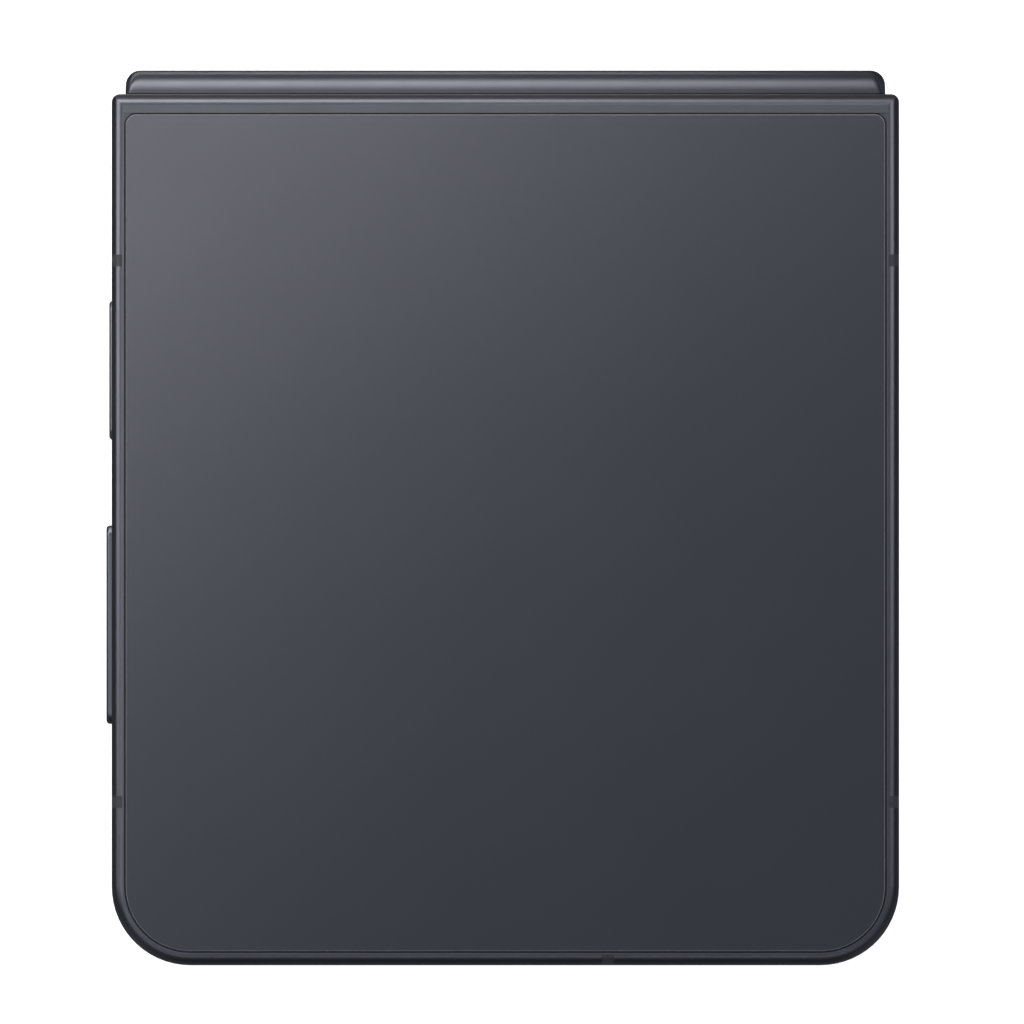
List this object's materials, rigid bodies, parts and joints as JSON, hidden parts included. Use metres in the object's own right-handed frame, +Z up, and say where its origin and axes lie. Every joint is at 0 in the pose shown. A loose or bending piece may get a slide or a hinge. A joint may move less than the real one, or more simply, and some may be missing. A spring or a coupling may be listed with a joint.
{
  "type": "clamshell folding phone",
  "caption": "Pocket clamshell phone with a folding inner display, twin-axis hinge spine, plain satin glass back and a glass cover face with two cameras.",
  "frame": {"origin": "middle of the folded phone's footprint, on the surface that it rests on", "axes": "+Z up through the plain back glass, +Y towards the hinge spine, +X to the right seen from above; the keys are on the -X side"},
  "size_m": [0.0758, 0.0856, 0.0143],
  "materials": {
    "frame_metal": "anodised satin dark slate grey",
    "antenna_plastic": "moulded inlay, darker grey, ground flush",
    "back_glass": "satin-etched dark slate grey glass with an opaque coating behind",
    "cover_glass": "polished black glass over the outer screen",
    "screen": "unlit outer screen panel",
    "ring_metal": "turned and anodised camera ring",
    "lens_glass": "coated camera window",
    "camera_body": "moulded camera housing",
    "lens_barrel": "black lens barrel",
    "lamp": "pale yellow flash lens",
    "board": "glass-fibre board with solder mask",
    "shield": "tinned shield cans",
    "battery_pouch": "wrapped aluminium-laminate pouch cell",
    "speaker_body": "sealed speaker box",
    "key_metal": "anodised key, lighter than the frame",
    "switch_metal": "dome switch on its bracket",
    "gasket_rubber": "silicone seal",
    "socket_steel": "drawn steel shell",
    "inner_display": "unlit folding display with its protective film",
    "display_plate": "rolled steel support plate",
    "bezel_rubber": "soft black rim round the folding display",
    "hinge_steel": "machined hinge steel",
    "screw_steel": "black oxide screws",
    "flex_film": "polyimide flat cable",
    "magnet": "plated magnets",
    "copper": "copper charging coil",
    "bumper_rubber": "small soft bumpers",
    "spine_metal": "anodised spine cover, satin dark slate grey",
    "motor_steel": "motor case and weight",
    "spring_steel": "close-wound wire springs"
  },
  "bodies": {
    "cover_half": {"cover_frame": "frame_metal", "cover_antenna_bands": "antenna_plastic", "cover_glass": "cover_glass", "cover_screen": "screen", "camera_rings": "ring_metal", "camera_windows": "lens_glass", "wide_camera": "camera_body", "ultrawide_camera": "camera_body", "flash_lamp": "lamp", "main_board": "board", "board_shields": "shield", "cover_battery": "battery_pouch", "earpiece": "speaker_body", "front_camera": "camera_body", "key_switches": "switch_metal", "sim_socket": "socket_steel", "cover_display": "inner_display", "cover_display_plate": "display_plate", "cover_bezel": "bezel_rubber", "cover_rotators": "hinge_steel", "cover_screws": "screw_steel", "cover_flex": "flex_film", "cover_magnets": "magnet"},
    "plain_half": {"plain_frame": "frame_metal", "plain_antenna_bands": "antenna_plastic", "back_glass": "back_glass", "charging_coil": "copper", "main_battery": "battery_pouch", "sub_board": "board", "usb_socket": "socket_steel", "loudspeaker": "speaker_body", "motor_case": "motor_steel", "microphone": "shield", "plain_display": "inner_display", "plain_display_plate": "display_plate", "plain_bezel": "bezel_rubber", "fold_bumpers": "bumper_rubber", "plain_rotators": "hinge_steel", "plain_screws": "screw_steel", "plain_flex": "flex_film", "plain_magnets": "magnet"},
    "power_key": {"power_key": "key_metal"},
    "volume_key": {"volume_key": "key_metal"},
    "sim_tray": {"sim_tray": "frame_metal", "tray_gasket": "gasket_rubber"},
    "focus_lens": {"wide_lens": "lens_barrel"},
    "motor_weight": {"motor_mass": "motor_steel"},
    "left_plungers": {"left_plungers": "hinge_steel"},
    "right_plungers": {"right_plungers": "hinge_steel"},
    "spine": {"spine_cover": "spine_metal", "spine_end_caps": "spine_metal", "hinge_brackets": "hinge_steel", "spine_screws": "screw_steel", "detent_springs": "spring_steel", "display_fold": "inner_display", "hinge_flex": "flex_film"}
  },
  "joints": [
    {"name": "fold_spine", "type": "hinge", "parent": "cover_half", "child": "spine", "pos_m": [0, 0.0391, 0.00595], "axis": [-1, 0, 0], "range_deg": [0, 90], "deforming": ["display_fold", "hinge_flex"]},
    {"name": "fold_plain", "type": "hinge", "parent": "spine", "child": "plain_half", "pos_m": [0, 0.0391, 0.00895], "axis": [-1, 0, 0], "range_deg": [0, 90], "deforming": ["display_fold", "hinge_flex"]},
    {"name": "power_key_press", "type": "slide", "parent": "cover_half", "child": "power_key", "axis": [1, 0, 0], "range_m": [0, 0.0002], "stiffness_N_per_m": 1000, "springref_m": -0.0004},
    {"name": "volume_key_press", "type": "slide", "parent": "cover_half", "child": "volume_key", "axis": [1, 0, 0], "range_m": [0, 0.0002], "stiffness_N_per_m": 1000, "springref_m": -0.0004},
    {"name": "tray_slide", "type": "slide", "parent": "cover_half", "child": "sim_tray", "axis": [1, 0, 0], "range_m": [0, 0.018]},
    {"name": "focus_slide", "type": "slide", "parent": "cover_half", "child": "focus_lens", "axis": [0, 0, 1], "range_m": [-0.00015, 0.00015], "stiffness_N_per_m": 200},
    {"name": "motor_slide", "type": "slide", "parent": "plain_half", "child": "motor_weight", "axis": [1, 0, 0], "range_m": [-0.0003, 0.0003], "stiffness_N_per_m": 500},
    {"name": "left_plunger_slide", "type": "slide", "parent": "spine", "child": "left_plungers", "axis": [1, 0, 0], "range_m": [0, 0.0003], "stiffness_N_per_m": 500, "springref_m": -0.0004},
    {"name": "right_plunger_slide", "type": "slide", "parent": "spine", "child": "right_plungers", "axis": [-1, 0, 0], "range_m": [0, 0.0003], "stiffness_N_per_m": 500, "springref_m": -0.0004}
  ],
  "couplings": [
    {"joint": "fold_plain", "follows": "fold_spine", "ratio": 1}
  ]
}
